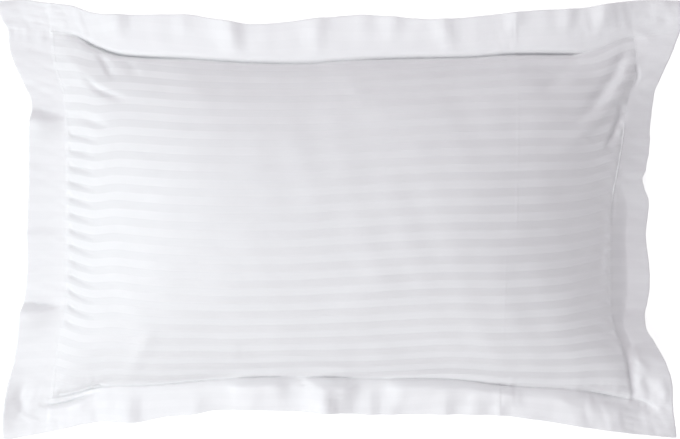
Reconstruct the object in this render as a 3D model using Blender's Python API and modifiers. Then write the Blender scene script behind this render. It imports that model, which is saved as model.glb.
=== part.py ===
"""An oxford pillowcase with its pillow inside: a crowned, filled middle and a flat border of double cloth.

Metres, +Z up. The origin is on the surface that the pillow rests on, under the middle of its outline.
Flat cloth coordinates run along the stripes (along X) and across them (along Y), from the cloth's middle.
"""
from collections import namedtuple

import bmesh
import bpy
import numpy as np

# Cut sizes of the cloth, laid flat.
CUT_LENGTH = 0.85
CUT_WIDTH = 0.55
BORDER_WIDTH = 0.05
CLOTH_THICKNESS = 0.0024

# The filled form.
CROWN_HEIGHT = 0.089
SEAM_HEIGHT = 0.068
SEAM_DROP_AT_CORNERS = 0.010
EDGE_DROP_AT_CORNERS = 0.010
LENGTHWISE_ROUNDNESS = 3.8
WIDTHWISE_ROUNDNESS = 2.25
UNDERSIDE_INSET = 0.085
UNDERSIDE_ROUNDNESS = 1.8
PIECE_GAP = 0.0007

# How finely the pieces are divided.
BODY_COLUMNS = 54
BODY_ROWS = 32
BORDER_STRIPS = 3
UNDERSIDE_RINGS = 4
ARC_SAMPLES = 400

HALF_LENGTH = CUT_LENGTH / 2
HALF_WIDTH = CUT_WIDTH / 2
SEAM_X = HALF_LENGTH - BORDER_WIDTH
SEAM_Y = HALF_WIDTH - BORDER_WIDTH

# How far each side is drawn in from the flat cut, at sections along it. "along" is the distance from
# the side's middle, "seam_in" is at the seam and "edge_in" at the outer edge of the border.
Section = namedtuple("Section", "along seam_in edge_in")

TOP_SIDE = (
    Section(-0.425, -0.014, 0.003), Section(-0.380, -0.010, 0.004), Section(-0.340, -0.004, 0.009),
    Section(-0.300, 0.016, 0.021), Section(-0.240, 0.023, 0.021), Section(-0.180, 0.024, 0.023),
    Section(-0.110, 0.029, 0.033), Section(-0.045, 0.030, 0.027), Section(0.030, 0.025, 0.021),
    Section(0.125, 0.023, 0.027), Section(0.200, 0.018, 0.021), Section(0.290, 0.017, 0.015),
    Section(0.345, 0.006, 0.007), Section(0.385, -0.004, 0.002), Section(0.425, -0.010, 0.004),
)
BOTTOM_SIDE = (
    Section(-0.425, -0.002, 0.001), Section(-0.380, 0.002, 0.010), Section(-0.335, 0.011, 0.018),
    Section(-0.290, 0.018, 0.023), Section(-0.235, 0.021, 0.028), Section(-0.165, 0.027, 0.037),
    Section(-0.090, 0.030, 0.038), Section(0.000, 0.029, 0.034), Section(0.110, 0.027, 0.032),
    Section(0.200, 0.020, 0.031), Section(0.275, 0.014, 0.021), Section(0.330, 0.007, 0.012),
    Section(0.385, -0.002, 0.005), Section(0.425, -0.006, 0.001),
)
LEFT_SIDE = (
    Section(-0.275, 0.008, 0.005), Section(-0.215, 0.014, 0.010), Section(-0.165, 0.021, 0.021),
    Section(-0.125, 0.030, 0.027), Section(-0.085, 0.034, 0.034), Section(-0.020, 0.034, 0.035),
    Section(0.060, 0.034, 0.038), Section(0.135, 0.033, 0.039), Section(0.175, 0.021, 0.028),
    Section(0.220, 0.014, 0.014), Section(0.275, 0.010, 0.001),
)
RIGHT_SIDE = (
    Section(-0.275, 0.006, 0.004), Section(-0.225, 0.008, 0.009), Section(-0.175, 0.016, 0.020),
    Section(-0.128, 0.032, 0.043), Section(-0.075, 0.038, 0.038), Section(-0.020, 0.037, 0.042),
    Section(0.018, 0.035, 0.039), Section(0.054, 0.031, 0.047), Section(0.090, 0.025, 0.040),
    Section(0.140, 0.018, 0.036), Section(0.185, 0.005, 0.025), Section(0.230, 0.006, 0.005),
    Section(0.275, 0.010, 0.003),
)

# Ripples of the border: each is a ridge across it that grows from the seam to the outer edge.
Ripple = namedtuple("Ripple", "along width height")

TOP_RIPPLES = (
    Ripple(-0.285, 0.026, 0.004), Ripple(-0.150, 0.034, 0.005), Ripple(-0.035, 0.030, 0.004),
    Ripple(0.078, 0.034, 0.003), Ripple(0.155, 0.028, 0.003), Ripple(0.270, 0.040, 0.003),
)
BOTTOM_RIPPLES = (
    Ripple(-0.268, 0.026, 0.005), Ripple(-0.182, 0.028, 0.003), Ripple(-0.055, 0.044, 0.007),
    Ripple(0.034, 0.018, 0.005), Ripple(0.130, 0.026, 0.004), Ripple(0.172, 0.020, 0.004),
    Ripple(0.320, 0.036, 0.004),
)
LEFT_RIPPLES = (
    Ripple(0.098, 0.026, 0.005), Ripple(-0.030, 0.024, 0.003), Ripple(-0.128, 0.028, 0.006),
)
RIGHT_RIPPLES = (
    Ripple(0.090, 0.018, 0.003), Ripple(0.026, 0.024, 0.005), Ripple(-0.050, 0.030, 0.004),
    Ripple(-0.150, 0.030, 0.006),
)

COTTON_COLOUR = (0.86, 0.86, 0.88, 1.0)
COTTON_ROUGHNESS = 0.55


def clear_scene():
    for item in list(bpy.data.objects):
        bpy.data.objects.remove(item, do_unlink=True)


def smooth_line(sections, column):
    """A smooth curve through one column of a side's sections, as a function of the place along it."""
    along = np.array([section.along for section in sections])
    values = np.array([getattr(section, column) for section in sections])
    slopes = np.gradient(values, along)

    def value_at(place):
        index = int(np.clip(np.searchsorted(along, place) - 1, 0, len(along) - 2))
        span = along[index + 1] - along[index]
        step = (place - along[index]) / span
        start_weight = (1 + 2 * step) * (1 - step) ** 2
        end_weight = (3 - 2 * step) * step ** 2
        start_turn = slopes[index] * span * step * (1 - step) ** 2
        end_turn = slopes[index + 1] * span * (1 - step) * step ** 2
        return start_weight * values[index] + end_weight * values[index + 1] + start_turn - end_turn

    return value_at


def side_lines(sections):
    return smooth_line(sections, "seam_in"), smooth_line(sections, "edge_in")


TOP_SEAM_IN, TOP_EDGE_IN = side_lines(TOP_SIDE)
BOTTOM_SEAM_IN, BOTTOM_EDGE_IN = side_lines(BOTTOM_SIDE)
LEFT_SEAM_IN, LEFT_EDGE_IN = side_lines(LEFT_SIDE)
RIGHT_SEAM_IN, RIGHT_EDGE_IN = side_lines(RIGHT_SIDE)


def arc_to_plan(half_chord, roundness):
    """Turns a share of the cloth's arc over the crown into a share of the chord below it."""
    plan = np.linspace(0.0, 1.0, ARC_SAMPLES)
    slope = CROWN_HEIGHT * roundness * plan ** (roundness - 1) / half_chord
    steps = np.sqrt(1 + slope ** 2)
    arc = np.concatenate(([0.0], np.cumsum((steps[1:] + steps[:-1]) / 2)))
    arc /= arc[-1]

    def plan_share(flat_share):
        return float(np.sign(flat_share) * np.interp(abs(flat_share), arc, plan))

    return plan_share


LENGTHWISE_PLAN = arc_to_plan(SEAM_X, LENGTHWISE_ROUNDNESS)
WIDTHWISE_PLAN = arc_to_plan(SEAM_Y, WIDTHWISE_ROUNDNESS)


def body_shares(flat_x, flat_y):
    """Where a point of the filled middle stands on its chords: -1 to 1 along, and -1 to 1 across."""
    along = flat_x / SEAM_X
    across = flat_y / SEAM_Y
    along_fullness = 1 - abs(across) ** WIDTHWISE_ROUNDNESS
    across_fullness = 1 - abs(along) ** LENGTHWISE_ROUNDNESS
    plan_along = along + (LENGTHWISE_PLAN(along) - along) * along_fullness
    plan_across = across + (WIDTHWISE_PLAN(across) - across) * across_fullness
    return plan_along, plan_across


def mix(low, high, share):
    return low + (high - low) * share


def place_across(share_in_body, outside, seam_low, seam_high, edge_low, edge_high):
    """A coordinate between four lines: low edge, low seam, high seam and high edge."""
    if outside < 0:
        return mix(seam_low, edge_low, -outside)
    if outside > 0:
        return mix(seam_high, edge_high, outside)
    return mix(seam_low, seam_high, (share_in_body + 1) / 2)


def border_share(flat, seam):
    """0 inside the seam, and up to -1 or 1 at the outer edge of the border."""
    return float(np.sign(flat) * max(0.0, abs(flat) - seam) / BORDER_WIDTH)


def ripple_height(ripples, along):
    return sum(r.height * np.exp(-((along - r.along) / r.width * 2) ** 2) for r in ripples)


def border_lift(flat_x, flat_y, outside_x, outside_y):
    """Height that the border's ripples and its drooping corners add, from none at the seam."""
    top_and_bottom = TOP_RIPPLES if outside_y > 0 else BOTTOM_RIPPLES
    left_and_right = RIGHT_RIPPLES if outside_x > 0 else LEFT_RIPPLES
    lift = ripple_height(top_and_bottom, flat_x) * outside_y ** 2
    lift += ripple_height(left_and_right, flat_y) * outside_x ** 2
    return lift - EDGE_DROP_AT_CORNERS * outside_x ** 2 * outside_y ** 2


def seam_height(flat_x, flat_y):
    nearness_to_corner = (min(abs(flat_x) / SEAM_X, 1) * min(abs(flat_y) / SEAM_Y, 1)) ** 4
    return SEAM_HEIGHT - SEAM_DROP_AT_CORNERS * nearness_to_corner


def cloth_point(flat_x, flat_y):
    """Place of a point of the flat cloth once the case is filled, and the crown's share there."""
    outside_x = border_share(flat_x, SEAM_X)
    outside_y = border_share(flat_y, SEAM_Y)
    plan_along, plan_across = body_shares(
        float(np.clip(flat_x, -SEAM_X, SEAM_X)), float(np.clip(flat_y, -SEAM_Y, SEAM_Y)))
    x = place_across(
        plan_along, outside_x,
        LEFT_SEAM_IN(flat_y) - SEAM_X, SEAM_X - RIGHT_SEAM_IN(flat_y),
        LEFT_EDGE_IN(flat_y) - HALF_LENGTH, HALF_LENGTH - RIGHT_EDGE_IN(flat_y))
    y = place_across(
        plan_across, outside_y,
        BOTTOM_SEAM_IN(flat_x) - SEAM_Y, SEAM_Y - TOP_SEAM_IN(flat_x),
        BOTTOM_EDGE_IN(flat_x) - HALF_WIDTH, HALF_WIDTH - TOP_EDGE_IN(flat_x))
    z = seam_height(flat_x, flat_y) + border_lift(flat_x, flat_y, outside_x, outside_y)
    crown = (1 - abs(plan_along) ** LENGTHWISE_ROUNDNESS) * (1 - abs(plan_across) ** WIDTHWISE_ROUNDNESS)
    return x, y, z, crown


def drape(grid, x_lines, y_lines):
    """Moves the vertices of a unit grid onto the filled shape, along the given lines of flat cloth."""
    for vertex in grid.verts:
        column = round((vertex.co.x + 1) / 2 * (len(x_lines) - 1))
        row = round((vertex.co.y + 1) / 2 * (len(y_lines) - 1))
        x, y, z, crown = cloth_point(x_lines[column], y_lines[row])
        vertex.co = (x, y, z + CROWN_HEIGHT * crown)


def lines_with_border(seam, edge, body_cells):
    """Flat coordinates of grid lines: the border's strips, the middle's cells, and strips again."""
    body = np.linspace(-seam, seam, body_cells + 1)
    strips = np.linspace(seam + PIECE_GAP, edge, BORDER_STRIPS + 1)
    return np.concatenate((-strips[::-1], body[1:-1], strips))


def add_object(name, mesh_data, collection, material):
    mesh = bpy.data.meshes.new(name)
    mesh_data.to_mesh(mesh)
    mesh_data.free()
    mesh.shade_smooth()
    mesh.materials.append(material)
    piece = bpy.data.objects.new(name, mesh)
    collection.objects.link(piece)
    return piece


def boundary_edges(bm):
    return [edge for edge in bm.edges if edge.is_boundary]


def add_underside(bm):
    """Carries the seam's rim down and in, ring by ring, to a flat face that rests on the surface."""
    rim = bmesh.ops.extrude_edge_only(bm, edges=boundary_edges(bm))["geom"]
    rim_verts = [item for item in rim if isinstance(item, bmesh.types.BMVert)]
    for vertex in rim_verts:
        vertex.co.z -= CLOTH_THICKNESS
    start = {vertex: vertex.co.copy() for vertex in rim_verts}
    seam_x = max(abs(place.x) for place in start.values())
    seam_y = max(abs(place.y) for place in start.values())
    for ring in range(1, UNDERSIDE_RINGS + 1):
        share = ring / UNDERSIDE_RINGS
        inward = share * UNDERSIDE_INSET
        made = bmesh.ops.extrude_edge_only(bm, edges=boundary_edges(bm))["geom"]
        next_start = {}
        for vertex in (item for item in made if isinstance(item, bmesh.types.BMVert)):
            above = nearest_start(vertex, start)
            vertex.co = (
                above.x * (1 - inward / seam_x),
                above.y * (1 - inward / seam_y),
                above.z * (1 - share) ** UNDERSIDE_ROUNDNESS)
            next_start[vertex] = above
        start = next_start
    bmesh.ops.edgeloop_fill(bm, edges=boundary_edges(bm))


def nearest_start(vertex, start):
    """The rim point that a newly drawn vertex came from: its neighbour in the ring above."""
    return next(start[edge.other_vert(vertex)] for edge in vertex.link_edges
                if edge.other_vert(vertex) in start)


def build_body(collection, material):
    """The filled middle of the case: crown on top, thin edge at the seam, flat where it rests."""
    bm = bmesh.new()
    bmesh.ops.create_grid(bm, x_segments=BODY_COLUMNS, y_segments=BODY_ROWS, size=1)
    drape(bm, np.linspace(-SEAM_X, SEAM_X, BODY_COLUMNS + 1), np.linspace(-SEAM_Y, SEAM_Y, BODY_ROWS + 1))
    for vertex in bm.verts:
        vertex.co.z += CLOTH_THICKNESS / 2
    add_underside(bm)
    bmesh.ops.recalc_face_normals(bm, faces=bm.faces)
    return add_object("case_body", bm, collection, material)


def build_border(collection, material):
    """The flat border: front and back cloth stitched together, outside the seam."""
    bm = bmesh.new()
    x_lines = lines_with_border(SEAM_X, HALF_LENGTH, BODY_COLUMNS)
    y_lines = lines_with_border(SEAM_Y, HALF_WIDTH, BODY_ROWS)
    bmesh.ops.create_grid(bm, x_segments=len(x_lines) - 1, y_segments=len(y_lines) - 1, size=1)
    strip_x = 1 - 2 * BORDER_STRIPS / (len(x_lines) - 1)
    strip_y = 1 - 2 * BORDER_STRIPS / (len(y_lines) - 1)
    middle = [face for face in bm.faces
              if abs(face.calc_center_median().x) < strip_x and abs(face.calc_center_median().y) < strip_y]
    bmesh.ops.delete(bm, geom=middle, context="FACES")
    drape(bm, x_lines, y_lines)
    piece = add_object("border", bm, collection, material)
    solidify = piece.modifiers.new("two_layers", "SOLIDIFY")
    solidify.thickness = CLOTH_THICKNESS
    solidify.offset = 0
    return piece


def centre_on_origin(pieces):
    """Puts the origin under the middle of the outline's box."""
    xs = [vertex.co.x for piece in pieces for vertex in piece.data.vertices]
    ys = [vertex.co.y for piece in pieces for vertex in piece.data.vertices]
    middle_x = (min(xs) + max(xs)) / 2
    middle_y = (min(ys) + max(ys)) / 2
    for piece in pieces:
        for vertex in piece.data.vertices:
            vertex.co.x -= middle_x
            vertex.co.y -= middle_y


def striped_cotton():
    material = bpy.data.materials.new("striped_cotton")
    material.use_nodes = True
    shader = material.node_tree.nodes["Principled BSDF"]
    shader.inputs["Base Color"].default_value = COTTON_COLOUR
    shader.inputs["Roughness"].default_value = COTTON_ROUGHNESS
    shader.inputs["Metallic"].default_value = 0.0
    return material


def main():
    clear_scene()
    collection = bpy.data.collections.new("oxford_pillowcase")
    bpy.context.scene.collection.children.link(collection)
    cotton = striped_cotton()
    body = build_body(collection, cotton)
    border = build_border(collection, cotton)
    centre_on_origin((body, border))


main()
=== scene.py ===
"""Looks of the filled oxford pillowcase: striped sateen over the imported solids, in metres.

Flat cloth coordinates run from the cloth's middle: flat_x along the stripes, flat_y across them. The same
flat grid is draped twice, as the front with its border and as the back, and joined at the outer edge.
"""

import math
from collections import namedtuple

import bpy
import numpy as np
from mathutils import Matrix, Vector


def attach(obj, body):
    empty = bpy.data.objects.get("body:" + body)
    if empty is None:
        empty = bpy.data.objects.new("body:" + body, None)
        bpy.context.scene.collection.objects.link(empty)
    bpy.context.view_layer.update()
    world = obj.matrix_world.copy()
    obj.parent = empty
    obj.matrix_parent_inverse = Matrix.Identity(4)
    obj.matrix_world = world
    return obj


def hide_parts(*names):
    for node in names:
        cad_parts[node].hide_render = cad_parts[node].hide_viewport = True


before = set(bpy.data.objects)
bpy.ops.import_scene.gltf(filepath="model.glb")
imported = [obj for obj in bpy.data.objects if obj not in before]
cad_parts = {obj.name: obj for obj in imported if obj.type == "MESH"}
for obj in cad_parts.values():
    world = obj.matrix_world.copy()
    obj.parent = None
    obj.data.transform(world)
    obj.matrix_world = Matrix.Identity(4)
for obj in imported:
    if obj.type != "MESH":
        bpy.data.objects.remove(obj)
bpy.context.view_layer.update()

# Cut sizes of the cloth, laid flat.
CUT_LENGTH = 0.85
CUT_WIDTH = 0.55
BORDER_WIDTH = 0.05
HALF_LENGTH = CUT_LENGTH / 2
HALF_WIDTH = CUT_WIDTH / 2
SEAM_X = HALF_LENGTH - BORDER_WIDTH
SEAM_Y = HALF_WIDTH - BORDER_WIDTH
LAYER_GAP = 0.0016

# The filled form.
CROWN_HEIGHT = 0.086
SEAM_HEIGHT = 0.068
SEAM_DROP_AT_CORNERS = 0.010
EDGE_DROP_AT_CORNERS = 0.010
CORNER_SHARPNESS = 4
LENGTHWISE_ROUNDNESS = 3.4
WIDTHWISE_ROUNDNESS = 2.3
UNDERSIDE_INSET = 0.085
UNDERSIDE_ROUNDNESS = 1.8
ARC_SAMPLES = 400

# The camera looks straight down on the seam's plane, where the picture is 0.85 m wide.
PICTURE_WIDTH = 0.85
CAMERA_DISTANCE = 1.53
SENSOR_WIDTH = 36.0


def table(kind, rows):
    """Rows of plain numbers under the named columns of one kind."""
    return tuple(kind(*row) for row in rows)


# How far each side is drawn in from the flat cut, at sections along it. "along" is the distance from the
# side's middle, "seam_in" is at the seam, "edge_in" at the outer edge of the border, "groove" how deep the
# cloth is pulled in there, "groove_at" how far outside the seam the groove runs, and "groove_out" how far it
# spreads outwards.
Section = namedtuple(
    "Section", "along seam_in edge_in groove groove_at groove_out", defaults=(0.0, 0.0, 0.0016))

TOP_SIDE = table(Section, (
    (-0.425, -0.014, 0.0), (-0.405, -0.013, -0.001), (-0.375, -0.011, 0.004), (-0.345, -0.006, 0.008, 0.005),
    (-0.319, 0.007, 0.017, 0.0085), (-0.295, 0.016, 0.0205, 0.0085), (-0.262, 0.0205, 0.0205, 0.0085),
    (-0.225, 0.0225, 0.0205, 0.006), (-0.195, 0.024, 0.0205, 0.0042), (-0.165, 0.026, 0.0255, 0.004),
    (-0.135, 0.028, 0.0305, 0.004), (-0.105, 0.029, 0.0325, 0.0042), (-0.075, 0.03, 0.0305, 0.004),
    (-0.045, 0.03, 0.027, 0.0036), (-0.01, 0.027, 0.0235, 0.0034), (0.03, 0.025, 0.021, 0.004),
    (0.075, 0.0235, 0.024, 0.0045), (0.12, 0.0225, 0.027, 0.0045), (0.165, 0.0215, 0.0245, 0.0045),
    (0.21, 0.018, 0.02, 0.0055), (0.255, 0.017, 0.016, 0.008), (0.292, 0.017, 0.0145, 0.007),
    (0.312, 0.0155, 0.0125, 0.0015), (0.33, 0.012, 0.01), (0.36, 0.0, 0.005), (0.39, -0.006, 0.0015),
    (0.425, -0.01, 0.001),
))
BOTTOM_SIDE = table(Section, (
    (-0.425, -0.002, -0.003), (-0.39, 0.001, 0.005), (-0.36, 0.004, 0.0115, 0.0012),
    (-0.33, 0.012, 0.0185, 0.0022), (-0.3, 0.0165, 0.023, 0.0022), (-0.262, 0.018, 0.022, 0.0016),
    (-0.225, 0.02, 0.029, 0.0018), (-0.185, 0.024, 0.033, 0.0014), (-0.16, 0.026, 0.0375, 0.0008),
    (-0.125, 0.028, 0.038), (-0.085, 0.029, 0.037), (-0.05, 0.029, 0.0365, 0.0006), (0.0, 0.028, 0.0345),
    (0.04, 0.027, 0.0325, 0.0008), (0.075, 0.027, 0.0325), (0.11, 0.0268, 0.0325), (0.165, 0.0235, 0.032),
    (0.2, 0.0185, 0.031, 0.0008), (0.245, 0.0155, 0.026, 0.001), (0.285, 0.0135, 0.02, 0.0008),
    (0.325, 0.008, 0.0135, 0.001), (0.365, 0.001, 0.008, 0.0012), (0.395, -0.004, 0.0035),
    (0.425, -0.006, -0.001),
))
LEFT_SIDE = table(Section, (
    (-0.275, 0.008, 0.0015), (-0.241, 0.011, 0.006), (-0.213, 0.015, 0.01), (-0.18, 0.02, 0.018),
    (-0.15, 0.025, 0.024), (-0.122, 0.031, 0.029), (-0.088, 0.0335, 0.0345), (-0.044, 0.034, 0.037),
    (-0.015, 0.034, 0.0365), (0.037, 0.034, 0.0385), (0.081, 0.034, 0.0385), (0.112, 0.034, 0.0415),
    (0.135, 0.032, 0.0405), (0.158, 0.027, 0.0305), (0.177, 0.0205, 0.021), (0.2, 0.016, 0.012),
    (0.224, 0.014, 0.009), (0.25, 0.012, -0.001), (0.275, 0.01, -0.003),
))
RIGHT_SIDE = table(Section, (
    (-0.275, 0.006, -0.0005), (-0.232, 0.008, 0.007, 0.0, 0.004, 0.006),
    (-0.203, 0.0105, 0.0078, 0.0045, 0.003, 0.006), (-0.178, 0.015, 0.0136, 0.0085, 0.004, 0.006),
    (-0.153, 0.025, 0.0232, 0.005, 0.006, 0.01), (-0.136, 0.0315, 0.034, 0.0035, 0.006, 0.01),
    (-0.124, 0.0345, 0.0348, 0.0015, 0.005, 0.01), (-0.108, 0.0365, 0.0313, 0.0, 0.003),
    (-0.085, 0.037, 0.0275, 0.0, 0.003), (-0.055, 0.037, 0.029, 0.0, 0.003),
    (-0.016, 0.0368, 0.0327, 0.0, 0.003), (0.01, 0.0355, 0.0302, 0.003, 0.003, 0.0034),
    (0.024, 0.0345, 0.0325, 0.0024, 0.003, 0.003), (0.036, 0.0335, 0.039, 0.0, 0.0022),
    (0.047, 0.0312, 0.043, 0.0, 0.002), (0.06, 0.029, 0.039, 0.0, 0.002), (0.074, 0.0265, 0.036, 0.0, 0.002),
    (0.112, 0.02, 0.0335, 0.0, 0.002), (0.137, 0.017, 0.031, 0.0, 0.001), (0.157, 0.012, 0.028),
    (0.18, 0.005, 0.0175), (0.206, 0.004, 0.006), (0.234, 0.0075, -0.003), (0.275, 0.01, -0.001),
))

# How the border lies beside each side of the seam: "rise" is how far it climbs (or falls) over "reach" from
# the seam, steep at first, and "tilt" is its slope from there on.
Lie = namedtuple("Lie", "along rise reach tilt")

TOP_LIE = table(Lie, (
    (-0.425, 0.0, 0.009, 0.05), (-0.345, 0.001, 0.009, 0.05), (-0.305, 0.003, 0.009, 0.06),
    (0.0, 0.002, 0.009, 0.06), (0.1, 0.003, 0.009, 0.08), (0.2, 0.003, 0.009, 0.15),
    (0.292, 0.002, 0.009, 0.22), (0.33, 0.0, 0.009, 0.22), (0.425, 0.0, 0.009, 0.18),
))
BOTTOM_LIE = table(Lie, (
    (-0.425, 0.0, 0.014, 0.0), (-0.33, 0.0, 0.014, 0.0), (-0.2, 0.003, 0.012, 0.0),
    (-0.148, 0.004, 0.012, -0.04), (-0.128, 0.016, 0.015, -0.25), (-0.085, 0.016, 0.015, -0.25),
    (-0.065, 0.004, 0.014, 0.0), (-0.048, 0.004, 0.014, 0.0), (-0.02, 0.019, 0.017, -0.25),
    (0.002, 0.019, 0.017, -0.25), (0.026, 0.004, 0.014, 0.0), (0.052, 0.004, 0.014, 0.0),
    (0.076, 0.016, 0.015, -0.25), (0.115, 0.016, 0.015, -0.25), (0.15, 0.015, 0.015, -0.25),
    (0.205, 0.015, 0.015, -0.25), (0.24, 0.008, 0.016, -0.08), (0.275, 0.012, 0.018, -0.15),
    (0.31, 0.013, 0.026, -0.15), (0.345, 0.011, 0.028, -0.1), (0.375, 0.003, 0.02, 0.0),
    (0.425, 0.0, 0.014, 0.0),
))
LEFT_LIE = table(Lie, (
    (-0.275, -0.0012, 0.004, 0.1), (-0.02, -0.0012, 0.004, 0.14), (0.05, -0.0012, 0.004, 0.16),
    (0.11, -0.0012, 0.004, 0.06), (0.275, -0.0012, 0.004, 0.06),
))
RIGHT_LIE = table(Lie, (
    (-0.275, 0.0, 0.01, -0.04), (-0.203, 0.0, 0.012, -0.12), (-0.178, -0.006, 0.011, -0.17),
    (-0.153, -0.019, 0.02, -0.33), (-0.136, -0.019, 0.02, -0.32), (-0.124, -0.024, 0.022, -0.28),
    (-0.11, -0.034, 0.026, -0.22), (-0.055, -0.034, 0.026, -0.2), (-0.01, -0.03, 0.026, -0.26),
    (0.024, -0.021, 0.022, -0.28), (0.044, -0.003, 0.014, -0.36), (0.112, 0.0, 0.01, -0.34),
    (0.15, 0.0, 0.01, -0.24), (0.19, 0.0, 0.01, -0.1), (0.275, 0.0, 0.01, 0.0),
))

# Ripples of the border: ridges across it. "left" and "right" are the reach of each flank, towards lower and
# higher values of "along", "slant" is how far the crest moves along the side on its way out, and "inner" is
# the share of the border's width that stays flat beside the seam.
Ripple = namedtuple("Ripple", "along left right height slant inner", defaults=(0.0, 0.0))

TOP_RIPPLES = table(Ripple, (
    (-0.285, 0.03, 0.014, 0.0073, 0.0, 0.3), (-0.236, 0.016, 0.012, 0.0016, 0.004),
    (-0.2, 0.016, 0.009, 0.0034, 0.0, 0.3), (-0.138, 0.03, 0.013, 0.0104), (-0.092, 0.014, 0.012, 0.0013),
    (-0.03, 0.024, 0.014, 0.0057), (0.024, 0.018, 0.014, 0.0021, 0.003, 0.3),
    (0.068, 0.018, 0.012, 0.0039, 0.0, 0.2), (0.098, 0.01, 0.01, 0.0016, 0.0, 0.4),
    (0.138, 0.016, 0.016, 0.0062, -0.008), (0.172, 0.01, 0.01, 0.0013),
    (0.224, 0.014, 0.018, 0.0034, 0.0, 0.4), (0.262, 0.012, 0.012, 0.0013),
    (0.29, 0.012, 0.012, 0.0031, 0.0, 0.4), (0.334, 0.016, 0.026, 0.0047, 0.004, 0.2),
))
BOTTOM_RIPPLES = table(Ripple, (
    (-0.33, 0.024, 0.02, 0.0012), (-0.27, 0.034, 0.014, 0.008), (-0.188, 0.024, 0.014, 0.0034, 0.004, 0.4),
    (-0.115, 0.02, 0.02, 0.002, 0.0, 0.3), (-0.024, 0.03, 0.018, 0.016, 0.006),
    (0.006, 0.006, 0.008, 0.001, 0.0, 0.4), (0.036, 0.014, 0.012, 0.004, 0.002),
    (0.064, 0.012, 0.01, 0.003, 0.0, 0.3), (0.134, 0.026, 0.01, 0.004),
    (0.17, 0.014, 0.014, 0.004, 0.0, 0.3), (0.2, 0.006, 0.01, 0.0026, 0.0, 0.4),
    (0.246, 0.018, 0.016, 0.0014), (0.3, 0.024, 0.016, 0.0026, 0.004, 0.2), (0.345, 0.016, 0.016, 0.0016),
))
LEFT_RIPPLES = table(Ripple, (
    (-0.205, 0.02, 0.02, 0.0018), (-0.118, 0.036, 0.013, 0.013), (-0.072, 0.016, 0.016, 0.001),
    (-0.026, 0.024, 0.012, 0.004), (0.03, 0.016, 0.016, 0.0008), (0.112, 0.036, 0.018, 0.015),
    (0.18, 0.02, 0.02, 0.0012),
))
RIGHT_RIPPLES = table(Ripple, (
    (-0.168, 0.022, 0.018, 0.0026, 0.0, 0.3), (-0.106, 0.012, 0.012, 0.002), (-0.064, 0.024, 0.02, 0.0026),
    (-0.01, 0.016, 0.018, 0.0022), (0.022, 0.014, 0.016, 0.003), (0.056, 0.01, 0.009, 0.0056),
    (0.078, 0.008, 0.008, 0.0022), (0.096, 0.009, 0.007, 0.0042), (0.124, 0.01, 0.01, 0.0014),
    (0.16, 0.012, 0.009, 0.0028, 0.004),
))

# Creases, each a soft ridge (height above 0) or trough along a smooth path. Points are where the camera
# sees them on the seam's plane. "near" and "far" are the reach to the right and left of the path's run.
Crease = namedtuple("Crease", "path near far height")

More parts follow.
